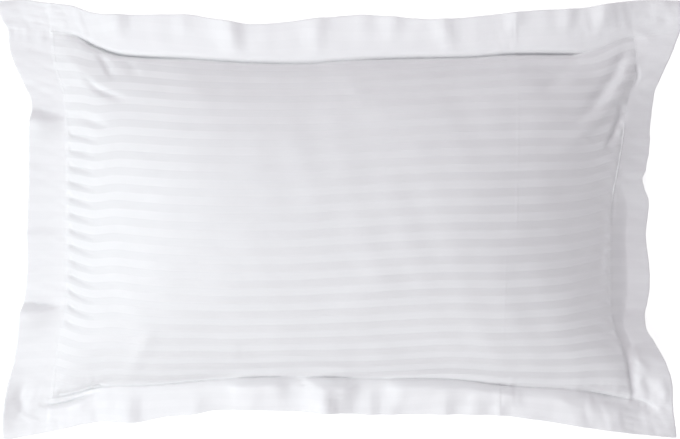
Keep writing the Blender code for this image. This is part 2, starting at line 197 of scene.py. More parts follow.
CREASES = table(Crease, (
    # upper left
    (((-0.306, 0.208), (-0.296, 0.198), (-0.29, 0.187), (-0.283, 0.174)), 0.0034, 0.005, -0.0042),
    (((-0.269, 0.201), (-0.261, 0.19), (-0.252, 0.173)), 0.003, 0.004, -0.0036),
    (((-0.322, 0.181), (-0.306, 0.166), (-0.288, 0.157), (-0.266, 0.149)), 0.005, 0.0036, -0.0044),
    (((-0.342, 0.134), (-0.322, 0.13), (-0.304, 0.121), (-0.288, 0.116)), 0.0056, 0.0036, -0.0042),
    (((-0.35, 0.212), (-0.33, 0.19), (-0.312, 0.174)), 0.007, 0.007, 0.0016),
    (((-0.396, 0.1365), (-0.38, 0.1375), (-0.366, 0.1365), (-0.35, 0.133)), 0.0075, 0.0016, -0.0036),
    # upper right
    (((0.362, 0.222), (0.352, 0.198), (0.342, 0.177), (0.328, 0.157), (0.313, 0.138), (0.288, 0.114)),
     0.0085, 0.007, -0.0058),
    (((0.374, 0.21), (0.36, 0.178), (0.344, 0.15), (0.322, 0.126), (0.296, 0.102), (0.268, 0.072)),
     0.015, 0.007, 0.0044),
    (((0.302, 0.2), (0.281, 0.182), (0.262, 0.168), (0.246, 0.16)), 0.009, 0.008, -0.003),
    (((0.352, 0.146), (0.349, 0.126), (0.341, 0.106), (0.331, 0.086)), 0.004, 0.006, -0.008),
    (((0.369, 0.196), (0.3725, 0.18), (0.367, 0.165)), 0.002, 0.0026, -0.0014),
    (((0.292, 0.232), (0.33, 0.236), (0.36, 0.236), (0.38, 0.23), (0.392, 0.22)), 0.006, 0.007, 0.002),
    (((0.216, 0.064), (0.238, 0.065), (0.256, 0.074), (0.266, 0.079)), 0.0022, 0.0022, 0.001),
    (((0.318, 0.096), (0.3, 0.102), (0.284, 0.098)), 0.0035, 0.0035, 0.0012),
    # upper middle
    (((-0.052, 0.192), (-0.051, 0.176), (-0.05, 0.156)), 0.003, 0.003, 0.0008),
    (((-0.039, 0.194), (-0.037, 0.182), (-0.036, 0.17)), 0.0026, 0.0026, 0.0007),
    (((-0.028, 0.186), (-0.027, 0.172), (-0.025, 0.16)), 0.0026, 0.0026, 0.0006),
    (((-0.06, 0.186), (-0.061, 0.172), (-0.06, 0.158)), 0.004, 0.004, -0.0007),
    (((-0.005, 0.178), (0.008, 0.158), (0.02, 0.13)), 0.004, 0.004, -0.0009),
    (((0.004, 0.18), (0.016, 0.16), (0.03, 0.136)), 0.005, 0.005, 0.0008),
    (((0.038, 0.19), (0.039, 0.172), (0.038, 0.156)), 0.0045, 0.0045, -0.0009),
    (((-0.188, 0.19), (-0.19, 0.176), (-0.192, 0.162)), 0.004, 0.004, 0.0006),
    (((0.116, 0.192), (0.11, 0.176), (0.104, 0.164)), 0.004, 0.004, 0.0006),
    (((0.05, 0.166), (0.052, 0.142), (0.05, 0.12)), 0.006, 0.006, 0.0007),
    # lower left
    (((-0.378, -0.232), (-0.35, -0.23), (-0.324, -0.222), (-0.298, -0.212)), 0.0036, 0.0032, -0.0094),
    (((-0.358, -0.2205), (-0.33, -0.217), (-0.306, -0.208), (-0.29, -0.204)), 0.0034, 0.003, -0.0078),
    (((-0.268, -0.204), (-0.256, -0.178), (-0.243, -0.152), (-0.232, -0.132)), 0.01, 0.008, 0.0034),
    (((-0.136, -0.15), (-0.132, -0.168), (-0.13, -0.186)), 0.003, 0.0026, 0.0018),
    (((-0.14, -0.2), (-0.126, -0.204), (-0.112, -0.208)), 0.003, 0.003, -0.0016),
    (((-0.394, -0.202), (-0.4, -0.22), (-0.398, -0.236), (-0.404, -0.252)), 0.006, 0.007, -0.005),
    (((-0.406, -0.238), (-0.392, -0.246), (-0.374, -0.252)), 0.0035, 0.0035, 0.0016),
    (((-0.35, -0.25), (-0.332, -0.24), (-0.316, -0.232)), 0.004, 0.004, 0.0012),
    (((-0.402, -0.101), (-0.384, -0.105), (-0.366, -0.106), (-0.346, -0.104)), 0.006, 0.0018, -0.0052),
    # lower middle
    (((-0.056, -0.195), (-0.048, -0.203), (-0.036, -0.214)), 0.0018, 0.0018, -0.0026),
    (((-0.048, -0.193), (-0.04, -0.2), (-0.03, -0.208)), 0.0024, 0.0024, 0.0018),
    (((-0.026, -0.196), (-0.012, -0.202), (-0.002, -0.213), (0.002, -0.226)), 0.0022, 0.003, 0.0022),
    (((-0.018, -0.216), (-0.006, -0.22), (0.004, -0.222)), 0.0024, 0.0024, 0.0014),
    (((0.022, -0.16), (0.019, -0.176), (0.022, -0.194)), 0.005, 0.005, -0.0009),
    (((0.044, -0.158), (0.05, -0.176), (0.06, -0.192)), 0.0036, 0.0036, 0.0009),
    (((0.169, -0.16), (0.16, -0.172), (0.15, -0.184)), 0.0045, 0.0045, 0.0009),
    (((0.196, -0.2), (0.204, -0.206), (0.212, -0.212)), 0.0028, 0.0028, -0.0008),
    # lower right
    (((0.298, -0.2105), (0.322, -0.2165), (0.346, -0.222), (0.368, -0.225)), 0.008, 0.0024, -0.0078),
    (((0.362, -0.222), (0.376, -0.2265), (0.388, -0.232), (0.396, -0.239)), 0.008, 0.0024, -0.0056),
    (((0.376, -0.2), (0.386, -0.208), (0.392, -0.216)), 0.006, 0.006, -0.003),
    (((0.398, -0.196), (0.404, -0.214), (0.402, -0.232)), 0.006, 0.006, 0.0024),
    (((0.366, -0.158), (0.374, -0.176), (0.386, -0.19)), 0.006, 0.005, 0.002),
    (((0.334, 0.02), (0.3365, -0.022), (0.332, -0.06), (0.333, -0.104)), 0.0055, 0.0075, 0.0026),
    # sharp folds left by packing: fine ridges across the stripes
    (((0.219, 0.258), (0.22, 0.236), (0.22, 0.214)), 0.0016, 0.0016, 0.0005),
    (((0.2225, 0.204), (0.2225, 0.15), (0.2225, 0.09), (0.2215, 0.05)), 0.0012, 0.0012, 0.0005),
    (((0.221, 0.056), (0.2212, 0.02), (0.2205, -0.02)), 0.0012, 0.0012, 0.0004),
    (((0.209, -0.02), (0.206, -0.1), (0.203, -0.2)), 0.0012, 0.0012, 0.0004),
    (((0.1985, -0.206), (0.1985, -0.222), (0.1985, -0.242)), 0.002, 0.002, 0.0009),
    (((-0.1135, 0.244), (-0.1115, 0.232), (-0.1095, 0.222)), 0.0012, 0.0012, 0.0007),
))

# Broad swells (height above 0) and dips, placed as the creases are.
Swell = namedtuple("Swell", "x y reach_x reach_y height")

SWELLS = table(Swell, (
    # corners of the border that curl up
    (-0.424, 0.262, 0.014, 0.022, 0.006), (-0.43, -0.236, 0.021, 0.04, 0.0178),
    (0.426, 0.264, 0.026, 0.024, 0.0075), (0.424, -0.232, 0.03, 0.04, 0.006),
    (0.336, 0.262, 0.03, 0.02, 0.0035),
    # the body
    (-0.11, 0.165, 0.06, 0.025, -0.0012), (0.06, 0.15, 0.08, 0.04, 0.001), (0.3, -0.02, 0.04, 0.08, -0.0015),
    (0.17, 0.12, 0.06, 0.06, -0.001), (-0.15, -0.14, 0.07, 0.02, -0.0032),
    (0.06, -0.138, 0.1, 0.02, -0.0046), (0.345, 0.075, 0.018, 0.05, 0.0052),
    (0.285, -0.095, 0.036, 0.034, 0.0042),
))

# Lines of the weave over the flat cloth: how far they run off the cut ("drift") at places along the
# stripes, by what share the stripes are wider there ("ease"), and how much they bend across ("bow").
WeaveLine = namedtuple("WeaveLine", "along drift ease bow")

WEAVE = table(WeaveLine, (
    (-0.425, 0.019, -0.04, 0.1), (-0.375, 0.0165, -0.044, 0.1), (-0.335, 0.011, -0.012, 0.11),
    (-0.285, 0.0195, 0.025, 0.09), (-0.255, 0.018, 0.029, 0.1), (-0.2, 0.0138, 0.026, 0.1),
    (-0.125, 0.012, 0.044, 0.08), (-0.05, 0.0132, 0.044, 0.1), (0.0, 0.0147, 0.028, 0.02),
    (0.075, 0.0175, 0.016, 0.0), (0.15, 0.0203, 0.013, 0.08), (0.225, 0.0233, 0.007, 0.08),
    (0.285, 0.0275, 0.011, 0.02), (0.33, 0.033, 0.0, 0.0), (0.375, 0.036, 0.0, 0.0),
    (0.425, 0.034, 0.0, 0.0),
))
STRIPE_REPEAT = 0.02


def smooth_line(sections, column):
    """A smooth curve through one column of a table, as a function of the place along its side."""
    along = np.array([section.along for section in sections])
    values = np.array([getattr(section, column) for section in sections])
    slopes = np.gradient(values, along)
    chords = np.diff(values) / np.diff(along)
    steepest = 3 * np.minimum(np.abs(chords[:-1]), np.abs(chords[1:]))
    turning = chords[:-1] * chords[1:] <= 0
    slopes[1:-1] = np.where(turning, 0, np.clip(slopes[1:-1], -steepest, steepest))

    def value_at(place):
        index = np.clip(np.searchsorted(along, place) - 1, 0, len(along) - 2)
        span = along[index + 1] - along[index]
        step = np.clip((place - along[index]) / span, 0, 1)
        start_weight = (1 + 2 * step) * (1 - step) ** 2
        end_weight = (3 - 2 * step) * step ** 2
        start_turn = slopes[index] * span * step * (1 - step) ** 2
        end_turn = slopes[index + 1] * span * (1 - step) * step ** 2
        return start_weight * values[index] + end_weight * values[index + 1] + start_turn - end_turn

    return value_at


def side_lines(*tables):
    """The curves through every column of a side's tables, by name."""
    return {column: smooth_line(table, column)
            for table in tables for column in table[0]._fields if column != "along"}


TOP = side_lines(TOP_SIDE, TOP_LIE)
BOTTOM = side_lines(BOTTOM_SIDE, BOTTOM_LIE)
LEFT = side_lines(LEFT_SIDE, LEFT_LIE)
RIGHT = side_lines(RIGHT_SIDE, RIGHT_LIE)
DRIFT = smooth_line(WEAVE, "drift")
EASE = smooth_line(WEAVE, "ease")
BOW = smooth_line(WEAVE, "bow")


def mix(low, high, share):
    return low + (high - low) * share


def smooth_step(value):
    value = np.clip(value, 0, 1)
    return value * value * (3 - 2 * value)


def weave_across(flat_x, flat_y):
    """Distance across the stripes in the weave, which is 0, 20 mm, 40 mm... in the middle of plain bands."""
    return (flat_y - DRIFT(flat_x)) / (1 + EASE(flat_x)) - BOW(flat_x) * flat_y ** 2


def arc_to_plan(half_chord, roundness):
    """Turns a share of the cloth's arc over the crown into a share of the chord below it."""
    plan = np.linspace(0.0, 1.0, ARC_SAMPLES)
    slope = CROWN_HEIGHT * roundness * plan ** (roundness - 1) / half_chord
    steps = np.sqrt(1 + slope ** 2)
    arc = np.concatenate(([0.0], np.cumsum((steps[1:] + steps[:-1]) / 2)))
    arc /= arc[-1]
    return lambda flat_share: np.sign(flat_share) * np.interp(np.abs(flat_share), arc, plan)


LENGTHWISE_PLAN = arc_to_plan(SEAM_X, LENGTHWISE_ROUNDNESS)
WIDTHWISE_PLAN = arc_to_plan(SEAM_Y, WIDTHWISE_ROUNDNESS)


def border_share(flat, seam):
    """0 inside the seam, and up to -1 or 1 at the outer edge of the border."""
    return np.sign(flat) * np.clip(np.abs(flat) - seam, 0, None) / BORDER_WIDTH


def body_shares(flat_x, flat_y):
    """Where a point of the filled middle stands on its chords: -1 to 1 along, and -1 to 1 across."""
    along = np.clip(flat_x / SEAM_X, -1, 1)
    across = np.clip(flat_y / SEAM_Y, -1, 1)
    along_fullness = 1 - np.abs(across) ** WIDTHWISE_ROUNDNESS
    across_fullness = 1 - np.abs(along) ** LENGTHWISE_ROUNDNESS
    plan_along = along + (LENGTHWISE_PLAN(along) - along) * along_fullness
    plan_across = across + (WIDTHWISE_PLAN(across) - across) * across_fullness
    return plan_along, plan_across


# The border's first stretch is drawn towards the seam where it stands up from a deep groove.
DRAW_REACH = 0.005
DEEPEST_WALL = 0.0105
MOST_DRAWN = 1.1


def drawn_share(share, lines, along):
    wall = np.clip(lines["groove"](along) / DEEPEST_WALL, 0, MOST_DRAWN)
    return share * (1 - wall * np.exp(-np.abs(share) * BORDER_WIDTH / DRAW_REACH))


def place_between(share_in_body, below, above, seam_low, seam_high, edge_low, edge_high):
    """A coordinate between four lines: low edge, low seam, high seam and high edge."""
    body = mix(seam_low, seam_high, (share_in_body + 1) / 2)
    return np.where(below < 0, mix(seam_low, edge_low, -below),
                    np.where(above > 0, mix(seam_high, edge_high, above), body))


def plan_place(flat_x, flat_y):
    """Where a point of the flat cloth stands in plan, once the case is filled."""
    plan_along, plan_across = body_shares(flat_x, flat_y)
    outside_x = border_share(flat_x, SEAM_X)
    outside_y = border_share(flat_y, SEAM_Y)
    to_bottom = np.where(outside_y < 0, drawn_share(outside_y, BOTTOM, flat_x), 0)
    to_top = np.where(outside_y > 0, drawn_share(outside_y, TOP, flat_x), 0)
    x = place_between(
        plan_along, outside_x, outside_x,
        LEFT["seam_in"](flat_y) - SEAM_X, SEAM_X - RIGHT["seam_in"](flat_y),
        LEFT["edge_in"](flat_y) - HALF_LENGTH, HALF_LENGTH - RIGHT["edge_in"](flat_y))
    y = place_between(
        plan_across, to_bottom, to_top,
        BOTTOM["seam_in"](flat_x) - SEAM_Y, SEAM_Y - TOP["seam_in"](flat_x),
        BOTTOM["edge_in"](flat_x) - HALF_WIDTH, HALF_WIDTH - TOP["edge_in"](flat_x))
    return x, y


def seam_height(flat_x, flat_y):
    nearness = np.clip(np.abs(flat_x) / SEAM_X, 0, 1) * np.clip(np.abs(flat_y) / SEAM_Y, 0, 1)
    return SEAM_HEIGHT - SEAM_DROP_AT_CORNERS * nearness ** CORNER_SHARPNESS


# A ripple has this share of its reach at the seam, and its full height a little before the edge.
RIPPLE_START_WIDTH = 0.6
RIPPLE_GROWTH = 1.2
RIPPLE_SHARPNESS = 2


def ripple_height(ripples, along, outside):
    """Ridges across the border that fan out from the seam; outside is 0 at the seam and 1 at the edge."""
    total = np.zeros_like(along)
    for ripple in ripples:
        offset = along - ripple.along - ripple.slant * outside
        reach = np.where(offset < 0, ripple.left, ripple.right) * mix(RIPPLE_START_WIDTH, 1, outside)
        way_out = smooth_step((outside - ripple.inner) / (1 - ripple.inner) * RIPPLE_GROWTH)
        total += ripple.height * np.exp(-(offset / reach) ** 2 * RIPPLE_SHARPNESS) * way_out
    return total


GROOVE_IN = 0.0040
GROOVE_REACH_PER_DEPTH = 0.12
CLIMB_STEEPNESS = 1.6


def wall_height(lines, along, beyond):
    """The groove beside the seam and the border's climb or fall; beyond is 0 at the seam, in metres."""
    depth = lines["groove"](along)
    from_groove = beyond - lines["groove_at"](along)
    reach = np.where(from_groove < 0, GROOVE_IN, lines["groove_out"](along)) + GROOVE_REACH_PER_DEPTH * depth
    groove = -depth * np.exp(-(from_groove / reach) ** 2)
    climb = 1 - (1 - np.clip(beyond / lines["reach"](along), 0, 1)) ** CLIMB_STEEPNESS
    return groove + lines["rise"](along) * climb + lines["tilt"](along) * np.clip(beyond, 0, None)


# The stitched line: a low ridge on the seam and a shallow trough just outside it, where the thread lies.
STITCH_AT = 0.0014
STITCH_TROUGH = 0.0002
STITCH_TROUGH_REACH = 0.0009
SEAM_RIDGE = 0.0014
LEFT_SEAM_RIDGE = 0.0004
BOTTOM_SEAM_RIDGE = 0.0006
# On the right the ridge shows only beside the upper half.
RIDGE_FROM_Y = 0.010
RIDGE_FADE = 0.020
SEAM_RIDGE_REACH = 0.0012
# In the upper right corner the cloth is pulled smooth over the seam.
SMOOTH_FROM_X = 0.290
SMOOTH_FROM_Y = 0.104
SMOOTH_REACH = 0.020


def seam_shown(flat_x, flat_y):
    """1 where the seam and its puckers show, 0 in the upper right corner."""
    smooth_x = smooth_step((flat_x - SMOOTH_FROM_X) / SMOOTH_REACH)
    smooth_y = smooth_step((flat_y - SMOOTH_FROM_Y) / SMOOTH_REACH)
    return 1 - smooth_x * smooth_y


def stitched_line(beyond, ridge_height):
    trough = STITCH_TROUGH * np.exp(-((beyond - STITCH_AT) / STITCH_TROUGH_REACH) ** 2)
    ridge = ridge_height * np.exp(-(beyond / SEAM_RIDGE_REACH) ** 2)
    return ridge - trough


def seam_relief(flat_x, flat_y):
    """Walls, grooves and the stitched line along the four sides of the seam."""
    beyond_x = np.abs(flat_x) - SEAM_X
    beyond_y = np.abs(flat_y) - SEAM_Y
    relief = np.where(flat_x > 0, wall_height(RIGHT, flat_y, beyond_x), wall_height(LEFT, flat_y, beyond_x))
    relief += np.where(flat_y > 0, wall_height(TOP, flat_x, beyond_y), wall_height(BOTTOM, flat_x, beyond_y))
    shown = seam_shown(flat_x, flat_y)
    right_ridge = SEAM_RIDGE * smooth_step((flat_y - RIDGE_FROM_Y) / RIDGE_FADE)
    end_ridge = np.where(flat_x < 0, LEFT_SEAM_RIDGE, right_ridge)
    long_ridge = np.where(flat_y < 0, BOTTOM_SEAM_RIDGE, SEAM_RIDGE)
    relief += np.where(beyond_y < 2 * STITCH_AT, stitched_line(beyond_x, end_ridge), 0) * shown
    relief += np.where(beyond_x < 2 * STITCH_AT, stitched_line(beyond_y, long_ridge), 0) * shown
    return relief


def plane_waves(first, second, shortest, longest, seed, most_slant=math.pi, count=24):
    """Seeded soft unevenness, about 1 high, made of plane waves that run within most_slant of "first"."""
    draw = np.random.default_rng(seed)
    total = np.zeros_like(first)
    for _ in range(count):
        slant = draw.uniform(-most_slant, most_slant)
        phase = draw.uniform(0, 2 * math.pi)
        length = draw.uniform(shortest, longest)
        total += np.cos(2 * math.pi / length * (first * math.cos(slant) + second * math.sin(slant)) + phase)
    return total * math.sqrt(2 / count)


# Heights of the small waves, and their shortest and longest lengths.
BORDER_UNEVENNESS = 0.00032
BORDER_WAVES = (0.012, 0.045)
BORDER_WAVE_SLANT = 0.5
SEAM_PUCKERS = 0.00026
PUCKER_WAVES = (0.009, 0.024)
PUCKER_SLANT = 0.4
PUCKER_REACH = 0.016
BODY_UNEVENNESS = 0.00045
BODY_WAVES = (0.045, 0.140)
# Gathers at the left seam, one to each plain band: troughs that slant down from the seam and fade out.
GATHER_DEPTH = 0.0063
GATHER_REACH = 0.052
GATHER_START = 0.009
GATHER_NEAR = 0.0033
GATHER_FAR = 0.0040
GATHER_ABOVE = 0.0055
GATHER_SLANT = 0.10
GATHER_LOWEST = -0.150
GATHER_HIGHEST = 0.120
GATHER_LOW_FADE = 0.03
GATHER_HIGH_FADE = 0.02
GATHER_FADE_POWER = 0.8
# Gathers at the right seam, shorter and shallower.
RIGHT_GATHERS = 0.00070
RIGHT_GATHER_REACH = 0.045
RIGHT_GATHER_SLANT = 0.3
RIGHT_GATHERS_FROM_CORNER = 0.05
RIGHT_GATHER_FADE = 0.04


def unevenness(flat_x, flat_y):
    """Small waves: across the border, along the seam, at the stripes' ends and over the whole body."""
    beyond_x = np.abs(flat_x) - SEAM_X
    beyond_y = np.abs(flat_y) - SEAM_Y
    upright = plane_waves(flat_x, flat_y, *BORDER_WAVES, 3, BORDER_WAVE_SLANT)
    level = plane_waves(flat_y, flat_x, *BORDER_WAVES, 5, BORDER_WAVE_SLANT)
    out_x = np.clip(beyond_x / BORDER_WIDTH, 0, 1)
    out_y = np.clip(beyond_y / BORDER_WIDTH, 0, 1)
    height = BORDER_UNEVENNESS * (upright * smooth_step(out_y * 2) + level * smooth_step(out_x * 2))
    fine_upright = plane_waves(flat_x, flat_y, *PUCKER_WAVES, 7, PUCKER_SLANT)
    fine_level = plane_waves(flat_y, flat_x, *PUCKER_WAVES, 9, PUCKER_SLANT)
    puckers = SEAM_PUCKERS * seam_shown(flat_x, flat_y)
    height += puckers * fine_upright * np.exp(-(beyond_y / PUCKER_REACH) ** 2)
    height += puckers * fine_level * np.exp(-(beyond_x / PUCKER_REACH) ** 2)
    inside = smooth_step(-np.maximum(beyond_x, beyond_y) / PUCKER_REACH)
    height += BODY_UNEVENNESS * inside * plane_waves(flat_x, flat_y, *BODY_WAVES, 13)
    return height - gathers(flat_x, flat_y)


def gathers(flat_x, flat_y):
    """Depth of the small troughs that run in from the left and right seams."""
    inside = np.clip(SEAM_X - np.abs(flat_x), 0, None)
    starts = smooth_step(inside / GATHER_START)
    line = weave_across(flat_x, flat_y) + GATHER_SLANT * inside - GATHER_ABOVE
    from_band = (line / STRIPE_REPEAT - np.round(line / STRIPE_REPEAT)) * STRIPE_REPEAT
    fade = np.clip(1 - inside / GATHER_REACH, 0, 1) ** GATHER_FADE_POWER
    width = np.where(from_band < 0, GATHER_NEAR, GATHER_FAR)
    window = smooth_step((flat_y - GATHER_LOWEST) / GATHER_LOW_FADE)
    window *= smooth_step((GATHER_HIGHEST - flat_y) / GATHER_HIGH_FADE)
    left = GATHER_DEPTH * np.exp(-(from_band / width) ** 2) * fade * starts * window
    right_line = weave_across(SEAM_X, flat_y) - RIGHT_GATHER_SLANT * inside
    waves = np.cos(2 * math.pi / STRIPE_REPEAT * right_line)
    right = RIGHT_GATHERS * waves * np.clip(1 - inside / RIGHT_GATHER_REACH, 0, 1) * starts
    right *= smooth_step((SEAM_Y - RIGHT_GATHERS_FROM_CORNER - np.abs(flat_y)) / RIGHT_GATHER_FADE)
    return np.where(flat_x < 0, left, right)


def crown_share(flat_x, flat_y):
    plan_along, plan_across = body_shares(flat_x, flat_y)
    along_fullness = 1 - np.abs(plan_along) ** LENGTHWISE_ROUNDNESS
    across_fullness = 1 - np.abs(plan_across) ** WIDTHWISE_ROUNDNESS
    return along_fullness * across_fullness


def border_lift(flat_x, flat_y):
    """Height that ripples and the drop at the corners add to the border."""
    outside_x = border_share(flat_x, SEAM_X)
    outside_y = border_share(flat_y, SEAM_Y)
    lift = ripple_height(TOP_RIPPLES, flat_x, np.clip(outside_y, 0, None))
    lift += ripple_height(BOTTOM_RIPPLES, flat_x, np.clip(-outside_y, 0, None))
    lift += ripple_height(LEFT_RIPPLES, flat_y, np.clip(-outside_x, 0, None))
    lift += ripple_height(RIGHT_RIPPLES, flat_y, np.clip(outside_x, 0, None))
    return lift - EDGE_DROP_AT_CORNERS * outside_x ** 2 * outside_y ** 2


def smooth_path(points, samples=48):
    """Evenly sampled smooth curve through given points (Catmull-Rom)."""
    points = np.array(points)
    padded = np.vstack((2 * points[0] - points[1], points, 2 * points[-1] - points[-2]))
    spans = len(points) - 1
    places = np.linspace(0, spans, samples)
    index = np.minimum(places.astype(int), spans - 1)
    step = (places - index)[:, None]
    p0, p1, p2, p3 = (padded[index + k] for k in range(4))
    return 0.5 * (2 * p1 + (p2 - p0) * step + (2 * p0 - 5 * p1 + 4 * p2 - p3) * step ** 2
                  + (3 * p1 - p0 - 3 * p2 + p3) * step ** 3)


# A crease is worked out only within this many times its reach.
CREASE_CUTOFF = 3


def crease_height(crease, seen_x, seen_y):
    """Height of one crease over the cloth, tapered to nothing at both ends of its path."""
    path = smooth_path(crease.path)
    reach = CREASE_CUTOFF * max(crease.near, crease.far)
    low = path.min(axis=0) - reach
    high = path.max(axis=0) + reach
    close = (seen_x > low[0]) & (seen_x < high[0]) & (seen_y > low[1]) & (seen_y < high[1])
    points = np.stack((seen_x[close], seen_y[close]), axis=-1)
    away = points[:, None, :] - path[None, :, :]
    nearest = np.argmin((away ** 2).sum(axis=2), axis=1)
    offset = away[np.arange(len(points)), nearest]
    run = np.gradient(path, axis=0)[nearest]
    right_of_run = run[:, 1] * offset[:, 0] - run[:, 0] * offset[:, 1] > 0
    distance = np.hypot(offset[:, 0], offset[:, 1])
    width = np.where(right_of_run, crease.near, crease.far)
    taper = np.sin(math.pi * (nearest + 0.5) / len(path))
    height = np.zeros_like(seen_x)
    height[close] = crease.height * taper * np.exp(-(distance / width) ** 2)
    return height


def swell_height(swell, seen_x, seen_y):
    away = ((seen_x - swell.x) / swell.reach_x) ** 2 + ((seen_y - swell.y) / swell.reach_y) ** 2
    return swell.height * np.exp(-away)


def hand_placed(x, y, z):
    """Height of every crease and swell, placed as seen from the camera on the seam's plane."""
    magnified = CAMERA_DISTANCE / (CAMERA_DISTANCE - (z - SEAM_HEIGHT))
    seen_x = x * magnified
    seen_y = y * magnified
    height = sum(crease_height(crease, seen_x, seen_y) for crease in CREASES)
    return height + sum(swell_height(swell, seen_x, seen_y) for swell in SWELLS)


def front_shape(flat_x, flat_y):
    """The front cloth with its border."""
    x, y = plan_place(flat_x, flat_y)
    z = seam_height(flat_x, flat_y) + CROWN_HEIGHT * crown_share(flat_x, flat_y)
    z += border_lift(flat_x, flat_y) + seam_relief(flat_x, flat_y) + unevenness(flat_x, flat_y)
    z += hand_placed(x, y, z) + LAYER_GAP / 2
    return np.stack((x, y, z), axis=-1)


def grid_normals(points):
    """Unit normals of a grid of points, up where the grid lies flat."""
    normals = np.cross(np.gradient(points, axis=1), np.gradient(points, axis=0))
    return normals / np.linalg.norm(normals, axis=-1, keepdims=True)


# The back opens across one end: the upper panel laps over the lower one, with a stitched hem.
OPENING_AT = 0.232
HEM_WIDTH = 0.020
LAP_STEP = 0.0009
LAP_REACH = 0.0012
HEM_TROUGH = 0.0005
# The lap and the hem fade in over one part in HEM_FADE of the way in from the seam.
HEM_FADE = 8
RIM_ROUNDNESS = 3
# The back turns from border to underside over this distance inside the seam.
BACK_BLEND = 0.0008


def underside(flat_x, flat_y, seam_line_z):
    """The back of the filled middle: from the seam down and in to the flat part that it rests on."""
    x, y = plan_place(flat_x, flat_y)
    along, across = body_shares(flat_x, flat_y)
    inset_x = np.clip((1 - np.abs(along)) * SEAM_X / UNDERSIDE_INSET, 0, 1)
    inset_y = np.clip((1 - np.abs(across)) * SEAM_Y / UNDERSIDE_INSET, 0, 1)
    rim = (1 - inset_x) ** RIM_ROUNDNESS + (1 - inset_y) ** RIM_ROUNDNESS
    inset = 1 - np.clip(rim, 0, 1) ** (1 / RIM_ROUNDNESS)
    z = seam_line_z * (1 - inset) ** UNDERSIDE_ROUNDNESS
    points = np.stack((x, y, z), axis=-1)
    lap = LAP_STEP * smooth_step((flat_x - OPENING_AT) / LAP_REACH)
    hem = HEM_TROUGH * np.exp(-((flat_x - OPENING_AT + HEM_WIDTH) / STITCH_TROUGH_REACH) ** 2)
    inward = (lap + hem) * smooth_step(inset * HEM_FADE)
    return points + grid_normals(points) * inward[..., None]


def back_shape(flat_x, flat_y, front):
    """The back cloth: one layer under the border, and the underside of the filled middle."""
    under_border = front - grid_normals(front) * LAYER_GAP
    edge_x = np.clip(flat_x, -SEAM_X, SEAM_X)
    edge_y = np.clip(flat_y, -SEAM_Y, SEAM_Y)
    seam_line_z = seam_height(edge_x, edge_y) + seam_relief(flat_x, flat_y) - LAYER_GAP / 2
    beyond = np.maximum(np.abs(flat_x) - SEAM_X, np.abs(flat_y) - SEAM_Y)
    share_of_border = smooth_step(1 + beyond / BACK_BLEND)[..., None]
    return mix(underside(flat_x, flat_y, seam_line_z), under_border, share_of_border)


# Steps of the flat grid: at the seam, in the border, inside it, in the middle and at folds left by packing.
SEAM_STEP = 0.0008
BORDER_STEP = 0.0015
NEAR_STEP = 0.0016
MIDDLE_STEP_ALONG = 0.0068
MIDDLE_STEP_ACROSS = 0.0021
FOLD_STEP = 0.0014
SEAM_REACH = 0.0036
NEAR_FROM = 0.048
NEAR_REACH = 0.055
FOLDS_FROM = 0.200
FOLDS_TO = 0.228
BACK_STRIDE = 4
GRADING_SAMPLES = 8001


def graded_lines(half, seam, middle_step, with_folds):
    """Flat coordinates of grid lines, closest together at the seam and widest in the middle."""
    samples = np.linspace(-half, half, GRADING_SAMPLES)
    inside = seam - np.abs(samples)
    middle = smooth_step((inside - NEAR_FROM) / NEAR_REACH)
    step = np.where(inside < 0, BORDER_STEP, mix(NEAR_STEP, middle_step, middle))
    step = np.where(np.abs(inside) < SEAM_REACH, SEAM_STEP, step)
    if with_folds:
        step = np.where((samples > FOLDS_FROM) & (samples < FOLDS_TO), FOLD_STEP, step)
    count = np.concatenate(([0.0], np.cumsum((1 / step[1:] + 1 / step[:-1]) / 2 * np.diff(samples))))
    spans = BACK_STRIDE * int(round(count[-1] / BACK_STRIDE))
    lines = np.interp(np.linspace(0, count[-1], spans + 1), count, samples)
    for at in (-seam, seam):
        lines[np.argmin(np.abs(lines - at))] = at
    return lines


def grid_quads(rows, columns, start, upwards):
    corner = start + np.arange(rows - 1)[:, None] * columns + np.arange(columns - 1)[None, :]
    quads = np.stack((corner, corner + 1, corner + columns + 1, corner + columns), axis=-1).reshape(-1, 4)
    return quads if upwards else quads[:, ::-1]


def boundary_loop(rows, columns):
    """Vertex numbers round the outer edge of a grid, anticlockwise from its first corner."""
    numbers = np.arange(rows * columns).reshape(rows, columns)
    return np.concatenate((numbers[0, :-1], numbers[:-1, -1], numbers[-1, :0:-1], numbers[:0:-1, 0]))


EDGE_ROUND = 0.0009


def thinned_back(back, in_border):
    """Every BACK_STRIDEth point both ways, lowered in the border to stay below the points left out."""
    stride = BACK_STRIDE
    rows, columns = back.shape[:2]
    thinned = back[::stride, ::stride].copy()
    kept_rows = np.arange(0, rows, stride)
    kept_columns = np.arange(0, columns, stride)
    chords = np.array([np.interp(np.arange(columns), kept_columns, line) for line in thinned[..., 2]])
    chords = np.array([np.interp(np.arange(rows), kept_rows, line) for line in chords.T]).T
    above = np.pad(np.clip(chords - back[..., 2], 0, None), stride, mode="edge")
    window = range(2 * stride + 1)
    most = np.max([above[down:down + rows:stride, over:over + columns:stride]
                   for down in window for over in window], axis=0)
    thinned[..., 2] -= np.where(in_border[::stride, ::stride], most, 0)
    return thinned


